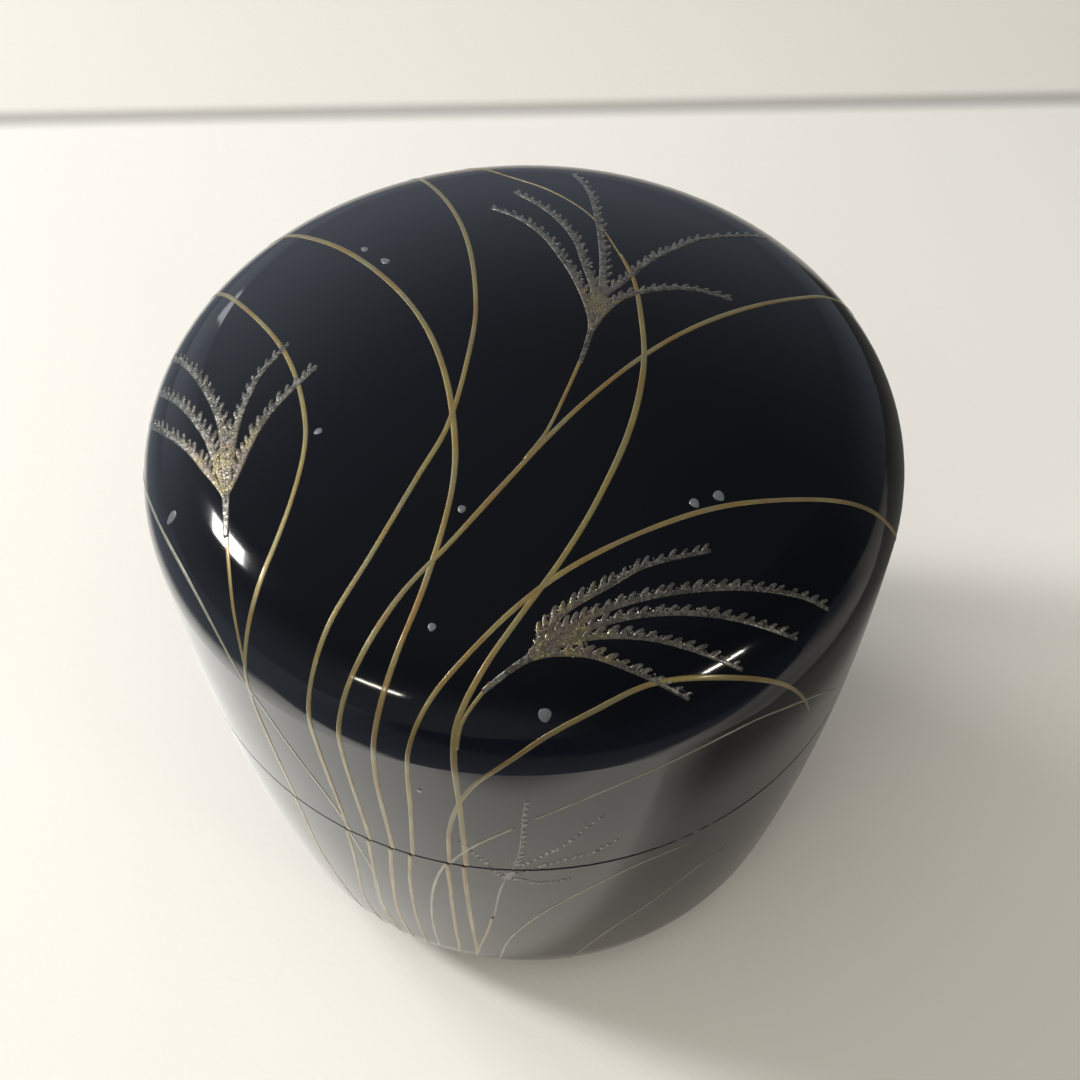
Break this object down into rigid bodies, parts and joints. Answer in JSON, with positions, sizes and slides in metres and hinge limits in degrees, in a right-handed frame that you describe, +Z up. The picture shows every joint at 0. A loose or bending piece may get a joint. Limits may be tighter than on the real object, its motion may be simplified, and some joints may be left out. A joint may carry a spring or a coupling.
{
  "type": "tea caddy",
  "caption": "Round tea caddy of lacquered turned wood with gently tapering sides and a low domed lid that slips over a standing rim. It holds powdered tea.",
  "frame": {"origin": "centre of the foot, on the surface that it stands on", "axes": "+Z up along the turning axis, the way the lid lifts; -Y faces the picture's camera"},
  "size_m": [0.066, 0.066, 0.066],
  "materials": {
    "black_lacquer": "polished black lacquer",
    "inside_lacquer": "plain black lacquer, a little less glossy",
    "turned_wood": "turned wood, closed in by lacquer",
    "gold_powder": "gold powder set in lacquer, burnished",
    "silver_powder": "silver powder set in lacquer"
  },
  "bodies": {
    "body": {"body_core": "turned_wood", "body_outer_lacquer": "black_lacquer", "body_inner_lacquer": "inside_lacquer", "base_lacquer": "inside_lacquer"},
    "lid": {"lid_core": "turned_wood", "lid_outer_lacquer": "black_lacquer", "lid_inner_lacquer": "inside_lacquer"}
  },
  "joints": [
    {"name": "lid_lift", "type": "slide", "parent": "body", "child": "lid", "axis": [0, 0, 1], "range_m": [0, 0.06]}
  ]
}
